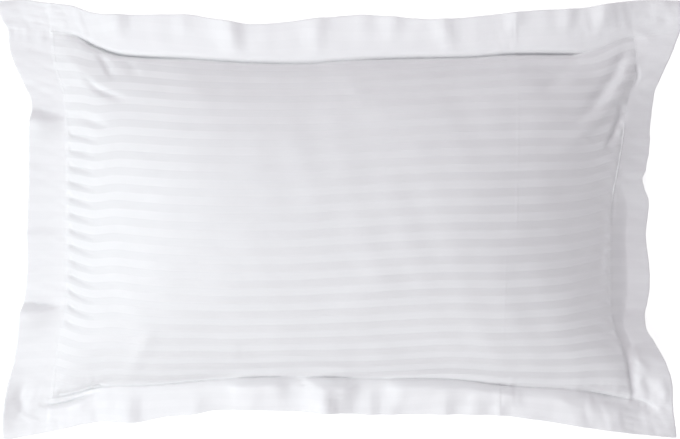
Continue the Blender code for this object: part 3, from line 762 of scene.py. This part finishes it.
def closed_case():
    """Front and back cloth as one closed mesh, joined by the turned outer edge.

    The back takes every BACK_STRIDEth line of the front's grid.
    """
    flat_x, flat_y = np.meshgrid(graded_lines(HALF_LENGTH, SEAM_X, MIDDLE_STEP_ALONG, True),
                                 graded_lines(HALF_WIDTH, SEAM_Y, MIDDLE_STEP_ACROSS, False))
    front = front_shape(flat_x, flat_y)
    back = back_shape(flat_x, flat_y, front)
    rows, columns = flat_x.shape
    front_loop = boundary_loop(rows, columns)
    middle = ((front + back) / 2).reshape(-1, 3)[front_loop]
    outward = np.roll(middle, -1, axis=0) - np.roll(middle, 1, axis=0)
    outward = np.stack((outward[:, 1], -outward[:, 0], np.zeros(len(front_loop))), axis=-1)
    outward /= np.linalg.norm(outward, axis=1)[:, None]
    edge = middle + outward * EDGE_ROUND
    thinned = (slice(None, None, BACK_STRIDE), slice(None, None, BACK_STRIDE))
    in_border = (np.abs(flat_x) > SEAM_X) | (np.abs(flat_y) > SEAM_Y)
    back = thinned_back(back, in_border)
    back_rows, back_columns = back.shape[:2]
    back_start = rows * columns
    edge_start = back_start + back_rows * back_columns
    back_loop = boundary_loop(back_rows, back_columns) + back_start
    edge_loop = np.arange(len(front_loop)) + edge_start
    upper = np.stack((front_loop, edge_loop, np.roll(edge_loop, -1), np.roll(front_loop, -1)), axis=-1)
    edge_spans = [np.roll(edge_loop, -step)[::BACK_STRIDE] for step in reversed(range(BACK_STRIDE + 1))]
    lower = np.stack([back_loop, np.roll(back_loop, -1)] + edge_spans, axis=-1)
    quads = np.concatenate((grid_quads(rows, columns, 0, True),
                            grid_quads(back_rows, back_columns, back_start, False), upper))
    faces = [tuple(face) for face in quads] + [tuple(face) for face in lower]
    vertices = np.concatenate((front.reshape(-1, 3), back.reshape(-1, 3), edge))
    maps = {}
    for name, across in (("weave", weave_across(flat_x, flat_y)), ("flat_cloth", flat_y)):
        places = np.stack((flat_x, across), axis=-1)
        maps[name] = np.concatenate((places.reshape(-1, 2), places[thinned].reshape(-1, 2),
                                     places.reshape(-1, 2)[front_loop]))
    return vertices, faces, maps


def in_scene(name, data):
    """A new object for the given data, in the scene."""
    made = bpy.data.objects.new(name, data)
    bpy.context.scene.collection.objects.link(made)
    return made


def mesh_object(name, vertices, faces, material, **maps):
    mesh = bpy.data.meshes.new(name)
    mesh.from_pydata(vertices.tolist(), [], faces)
    mesh.shade_smooth()
    corners = np.zeros(len(mesh.loops), dtype=np.int32)
    mesh.loops.foreach_get("vertex_index", corners)
    for map_name, places in maps.items():
        layer = mesh.uv_layers.new(name=map_name)
        layer.data.foreach_set("uv", places[corners].astype(np.float32).ravel())
    mesh.materials.append(material)
    return in_scene(name, mesh)


# Stitches of the seam: short lengths of thread, sunk a little at both ends.
STITCH_PITCH = 0.0032
STITCH_LENGTH = 0.0026
THREAD_RADIUS = 0.00028
STITCH_SECTIONS = 5
STITCH_SIDES = 6
# How fast a stitch thins towards its ends, and by what share of its radius it is sunk into the cloth.
STITCH_TAPER = 1.86
STITCH_THINNING = 0.98
STITCH_SUNK = 0.80


def stitch_places():
    """Flat coordinates of the stitches' middles and their directions, round the seam."""
    half_x = SEAM_X + STITCH_AT
    half_y = SEAM_Y + STITCH_AT
    corners = np.array(((-half_x, -half_y), (half_x, -half_y), (half_x, half_y), (-half_x, half_y)))
    middles, directions = [], []
    for start, end in zip(corners, np.roll(corners, -1, axis=0)):
        length = np.linalg.norm(end - start)
        count = int(round(length / STITCH_PITCH))
        shares = (np.arange(count) + 0.5) / count
        middles.append(start + (end - start) * shares[:, None])
        directions.append(np.repeat(((end - start) / length)[None], count, axis=0))
    return np.concatenate(middles), np.concatenate(directions)


def stitches():
    """All stitches as one joined mesh."""
    middles, directions = stitch_places()
    steps = np.linspace(-0.5, 0.5, STITCH_SECTIONS)
    flat = middles[:, None] + directions[:, None] * (steps * STITCH_LENGTH)[None, :, None]
    line = front_shape(flat[..., 0], flat[..., 1])
    aside = front_shape(flat[..., 0] - directions[:, None, 1] * THREAD_RADIUS,
                        flat[..., 1] + directions[:, None, 0] * THREAD_RADIUS)
    run = np.gradient(line, axis=1)
    run /= np.linalg.norm(run, axis=-1, keepdims=True)
    normal = np.cross(run, aside - line)
    normal /= np.linalg.norm(normal, axis=-1, keepdims=True)
    side = np.cross(normal, run)
    fullness = np.sqrt(1 - (STITCH_TAPER * steps) ** 2 * STITCH_THINNING)
    centre = line + normal * ((fullness - STITCH_SUNK) * THREAD_RADIUS)[None, :, None]
    turns = 2 * math.pi * np.arange(STITCH_SIDES) / STITCH_SIDES
    ring = (side[:, :, None] * np.cos(turns)[None, None, :, None]
            + normal[:, :, None] * np.sin(turns)[None, None, :, None])
    points = centre[:, :, None] + ring * (fullness * THREAD_RADIUS)[None, :, None, None]
    size = STITCH_SECTIONS * STITCH_SIDES
    faces = []
    for stitch in range(len(middles)):
        for section in range(STITCH_SECTIONS - 1):
            low = stitch * size + section * STITCH_SIDES
            for corner in range(STITCH_SIDES):
                following = (corner + 1) % STITCH_SIDES
                faces.append((low + corner, low + following,
                              low + STITCH_SIDES + following, low + STITCH_SIDES + corner))
        faces.append(tuple(stitch * size + corner for corner in reversed(range(STITCH_SIDES))))
        last = stitch * size + size - STITCH_SIDES
        faces.append(tuple(last + corner for corner in range(STITCH_SIDES)))
    return points.reshape(-1, 3), faces


def node(tree, kind, **settings):
    made = tree.nodes.new(kind)
    for key, value in settings.items():
        setattr(made, key, value)
    return made


def new_material(name):
    """A new material, its node tree and its shader."""
    material = bpy.data.materials.new(name)
    material.use_nodes = True
    return material, material.node_tree, material.node_tree.nodes["Principled BSDF"]


def maths(tree, operation, first, second=None):
    made = node(tree, "ShaderNodeMath", operation=operation)
    for socket, value in zip(made.inputs, (first, second)):
        if value is None:
            continue
        if isinstance(value, (int, float)):
            socket.default_value = value
        else:
            tree.links.new(value, socket)
    return made.outputs[0]


def ranged(tree, value, low, high, to_low, to_high, smooth=False):
    kind = "SMOOTHSTEP" if smooth else "LINEAR"
    made = node(tree, "ShaderNodeMapRange", interpolation_type=kind)
    for name, edge in (("From Min", low), ("From Max", high), ("To Min", to_low), ("To Max", to_high)):
        made.inputs[name].default_value = edge
    tree.links.new(value, made.inputs[0])
    return made.outputs[0]


def wave(tree, value, length, operation="SINE"):
    """A wave of the given length along one coordinate."""
    return maths(tree, operation, maths(tree, "MULTIPLY", value, 2 * math.pi / length))


def map_places(tree, name):
    """A named map of the cloth, and its coordinates along and across the stripes."""
    places = node(tree, "ShaderNodeUVMap", uv_map=name).outputs[0]
    split = node(tree, "ShaderNodeSeparateXYZ")
    tree.links.new(places, split.inputs[0])
    return places, split.outputs[0], split.outputs[1]


def colour_mix(tree, share, first, second):
    made = node(tree, "ShaderNodeMix", data_type="RGBA")
    for socket, value in ((made.inputs[6], first), (made.inputs[7], second)):
        if isinstance(value, tuple):
            socket.default_value = value
        else:
            tree.links.new(value, socket)
    tree.links.new(share, made.inputs[0])
    return made.outputs[2]


SATIN_COLOUR = (0.908, 0.908, 0.912, 1.0)
PLAIN_COLOUR = (0.838, 0.838, 0.842, 1.0)
# The border is a little brighter than the body: painted light, standing in for the pale floor's light that
# shines through its two thin layers.
BORDER_SATIN_COLOUR_WITH_PAINTED_LIGHT = (0.910, 0.910, 0.914, 1.0)
BORDER_PLAIN_COLOUR_WITH_PAINTED_LIGHT = (0.894, 0.894, 0.898, 1.0)
SHADE_DEPTH = 0.985
SATIN_ROUGHNESS = 0.50
PLAIN_ROUGHNESS = 0.70
# The floats of the satin lie at a slant to the cloth, so the satin bands catch the light of another side.
FLOAT_SLANT_ALONG = 0.205
FLOAT_SLANT_ACROSS = -0.20
LEVEL_NORMAL = (0.5, 0.5, 1.0, 1.0)
THREAD_PITCH = 0.00042
FLOAT_PITCH = 0.00026
THREAD_RELIEF = 0.00005
THREAD_RELIEF_STRENGTH = 0.3
BAND_EDGE = 0.22
MOTTLE_SCALE = 38.0
MOTTLE_DETAIL = 3.0
MOTTLE_DARK = 0.3
MOTTLE_LIGHT = 0.7
# The border's colours, brightened with painted light, take over between these distances beyond the seam.
BORDER_COLOUR_FROM = -0.002
BORDER_COLOUR_TO = 0.006


def scaled(colour, share):
    """A colour made lighter or darker, still no brighter than white."""
    return tuple(min(1.0, share * value) for value in colour[:3]) + (1.0,)


def border_mask(tree):
    """0 on the filled middle and 1 on the border."""
    _, along, across = map_places(tree, "flat_cloth")
    beyond_x = maths(tree, "SUBTRACT", maths(tree, "ABSOLUTE", along), SEAM_X)
    beyond_y = maths(tree, "SUBTRACT", maths(tree, "ABSOLUTE", across), SEAM_Y)
    beyond = maths(tree, "MAXIMUM", beyond_x, beyond_y)
    return ranged(tree, beyond, BORDER_COLOUR_FROM, BORDER_COLOUR_TO, 0.0, 1.0, smooth=True)


def cloth_colour(tree, weave, satin, in_border):
    """Plain and satin bands, a little mottled on the filled middle; on the border they are brightened with
    painted light.
    """
    mottle = node(tree, "ShaderNodeTexNoise")
    mottle.inputs["Scale"].default_value = MOTTLE_SCALE
    mottle.inputs["Detail"].default_value = MOTTLE_DETAIL
    tree.links.new(weave, mottle.inputs["Vector"])
    shade = ranged(tree, mottle.outputs[0], MOTTLE_DARK, MOTTLE_LIGHT, 0.0, 1.0)
    plain = colour_mix(tree, shade, scaled(PLAIN_COLOUR, SHADE_DEPTH), PLAIN_COLOUR)
    bright = colour_mix(tree, shade, scaled(SATIN_COLOUR, SHADE_DEPTH), SATIN_COLOUR)
    body_colour = colour_mix(tree, satin, plain, bright)
    # The border's colours are painted light: brighter, as if lit through from the floor below.
    border_colour_with_painted_light = colour_mix(tree, satin, BORDER_PLAIN_COLOUR_WITH_PAINTED_LIGHT, BORDER_SATIN_COLOUR_WITH_PAINTED_LIGHT)
    return colour_mix(tree, in_border, body_colour, border_colour_with_painted_light)


def satin_slant(tree, satin, in_border):
    """Shading normal of the satin's slanted floats on the filled middle, level elsewhere."""
    upright = math.sqrt(1 - FLOAT_SLANT_ALONG ** 2 - FLOAT_SLANT_ACROSS ** 2)
    slanted = tuple(0.5 + value / 2 for value in (FLOAT_SLANT_ALONG, FLOAT_SLANT_ACROSS, upright)) + (1.0,)
    slant = node(tree, "ShaderNodeNormalMap", uv_map="weave")
    slant_share = maths(tree, "MULTIPLY", satin, maths(tree, "SUBTRACT", 1.0, in_border))
    tree.links.new(colour_mix(tree, slant_share, LEVEL_NORMAL, slanted), slant.inputs["Color"])
    return slant.outputs[0]


def thread_relief(tree, along, across, satin):
    """Height of the plain bands' crossing threads and of the satin's long floats."""
    crossing = maths(tree, "MULTIPLY", wave(tree, along, THREAD_PITCH), wave(tree, across, THREAD_PITCH))
    relief = node(tree, "ShaderNodeMix")
    tree.links.new(satin, relief.inputs[0])
    tree.links.new(crossing, relief.inputs[2])
    tree.links.new(wave(tree, across, FLOAT_PITCH), relief.inputs[3])
    return relief.outputs[0]


def striped_sateen():
    """White cotton with 1 cm satin stripes along the case."""
    material, tree, shader = new_material("striped_sateen")
    weave, along, across = map_places(tree, "weave")
    bands = wave(tree, across, STRIPE_REPEAT, "COSINE")
    satin = ranged(tree, bands, BAND_EDGE, -BAND_EDGE, 0.0, 1.0, smooth=True)
    in_border = border_mask(tree)
    tree.links.new(cloth_colour(tree, weave, satin, in_border), shader.inputs["Base Color"])
    roughness = ranged(tree, satin, 0.0, 1.0, PLAIN_ROUGHNESS, SATIN_ROUGHNESS)
    tree.links.new(roughness, shader.inputs["Roughness"])
    bump = node(tree, "ShaderNodeBump")
    bump.inputs["Distance"].default_value = THREAD_RELIEF
    bump.inputs["Strength"].default_value = THREAD_RELIEF_STRENGTH
    tree.links.new(thread_relief(tree, along, across, satin), bump.inputs["Height"])
    tree.links.new(satin_slant(tree, satin, in_border), bump.inputs["Normal"])
    tree.links.new(bump.outputs[0], shader.inputs["Normal"])
    shader.inputs["Specular IOR Level"].default_value = 0.5
    return material


# The darker colour is painted shade, laid in the grooves of the twist where its relief sinks.
THREAD_GROOVE_PAINTED_SHADE = (0.80, 0.80, 0.81, 1.0)
THREAD_LIGHT = (0.88, 0.88, 0.885, 1.0)
TWIST_SCALE = 900.0
TWIST_RELIEF = 0.00006


def white_thread():
    """Twisted white sewing thread, with painted shade in the grooves of its twist."""
    material, tree, shader = new_material("white_thread")
    place = node(tree, "ShaderNodeTexCoord")
    twist = node(tree, "ShaderNodeTexWave", wave_type="BANDS", bands_direction="DIAGONAL")
    twist.inputs["Scale"].default_value = TWIST_SCALE
    tree.links.new(place.outputs["Object"], twist.inputs["Vector"])
    bump = node(tree, "ShaderNodeBump")
    bump.inputs["Distance"].default_value = TWIST_RELIEF
    tree.links.new(twist.outputs[0], bump.inputs["Height"])
    tree.links.new(bump.outputs[0], shader.inputs["Normal"])
    # Painted shade: the thread is darker where the twist's relief is low.
    colour = colour_mix(tree, twist.outputs[0], THREAD_GROOVE_PAINTED_SHADE, THREAD_LIGHT)
    tree.links.new(colour, shader.inputs["Base Color"])
    shader.inputs["Roughness"].default_value = 0.5
    return material


def camera():
    data = bpy.data.cameras.new("camera")
    data.sensor_width = SENSOR_WIDTH
    data.lens = SENSOR_WIDTH * CAMERA_DISTANCE / PICTURE_WIDTH
    made = in_scene("camera", data)
    made.location = (0, 0, SEAM_HEIGHT + CAMERA_DISTANCE)
    bpy.context.scene.camera = made


FLOOR_SIZE = 12
FLOOR_DROP = 0.0006
FLOOR_COLOUR = (0.6, 0.6, 0.6, 1)
# The floor's own light keeps it white round the case.
FLOOR_GLOW = 0.64


def floor():
    bpy.ops.mesh.primitive_plane_add(size=FLOOR_SIZE, location=(0, 0, -FLOOR_DROP))
    made = bpy.context.object
    made.name = "floor"
    material, _, shader = new_material("pale_floor")
    shader.inputs["Base Color"].default_value = FLOOR_COLOUR
    shader.inputs["Roughness"].default_value = 0.9
    shader.inputs["Emission Color"].default_value = (1, 1, 1, 1)
    shader.inputs["Emission Strength"].default_value = FLOOR_GLOW
    made.data.materials.append(material)


# Soft discs of light round the pillow, aimed at its middle: azimuth from +X and elevation in degrees.
Light = namedtuple("Light", "name azimuth elevation distance power colour")

LIGHTS = table(Light, (
    ("window", 180, 50, 1.3, 2.4, (0.85, 1.0, 1.0)),
    ("far_window", 180, 20, 2.2, 5.9, (0.99, 1.0, 1.0)),
    ("low_left", 225, 30, 2.2, 8.1, (0.97, 1.0, 1.0)),
    ("upper_left", 150, 30, 1.6, 1.0, (0.98, 0.98, 1.0)),
    ("top_side", 90, 50, 2.0, 6.4, (1.0, 0.97, 0.99)),
    ("top_low", 90, 30, 2.0, 5.3, (1.0, 0.97, 0.99)),
    ("near_side", 270, 50, 2.0, 14.0, (0.985, 0.99, 1.0)),
))
LIGHT_SIZE = 0.9
AIM_HEIGHT = 0.05
SURROUNDINGS_COLOUR = (0.95, 0.90, 1.0, 1.0)
SURROUNDINGS_STRENGTH = 0.278


def lights():
    for light in LIGHTS:
        data = bpy.data.lights.new(light.name, "AREA")
        data.shape = "DISK"
        data.size = LIGHT_SIZE
        data.energy = light.power
        data.color = light.colour
        made = in_scene(light.name, data)
        turn = math.radians(light.azimuth)
        up = math.radians(light.elevation)
        away = Vector((math.cos(turn) * math.cos(up), math.sin(turn) * math.cos(up), math.sin(up)))
        made.location = away * light.distance + Vector((0, 0, AIM_HEIGHT))
        made.rotation_euler = (-away).to_track_quat("-Z", "Y").to_euler()
    world = bpy.data.worlds.new("studio")
    bpy.context.scene.world = world
    world.use_nodes = True
    background = world.node_tree.nodes["Background"]
    background.inputs[0].default_value = SURROUNDINGS_COLOUR
    background.inputs[1].default_value = SURROUNDINGS_STRENGTH


camera()
floor()
lights()
bpy.context.scene.view_settings.view_transform = "Standard"

case_vertices, case_faces, case_maps = closed_case()
case = mesh_object("pillowcase", case_vertices, case_faces, striped_sateen(), **case_maps)
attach(case, "root")
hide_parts("case_body", "border")

seam_stitches = mesh_object("seam_stitches", *stitches(), white_thread())
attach(seam_stitches, "root")
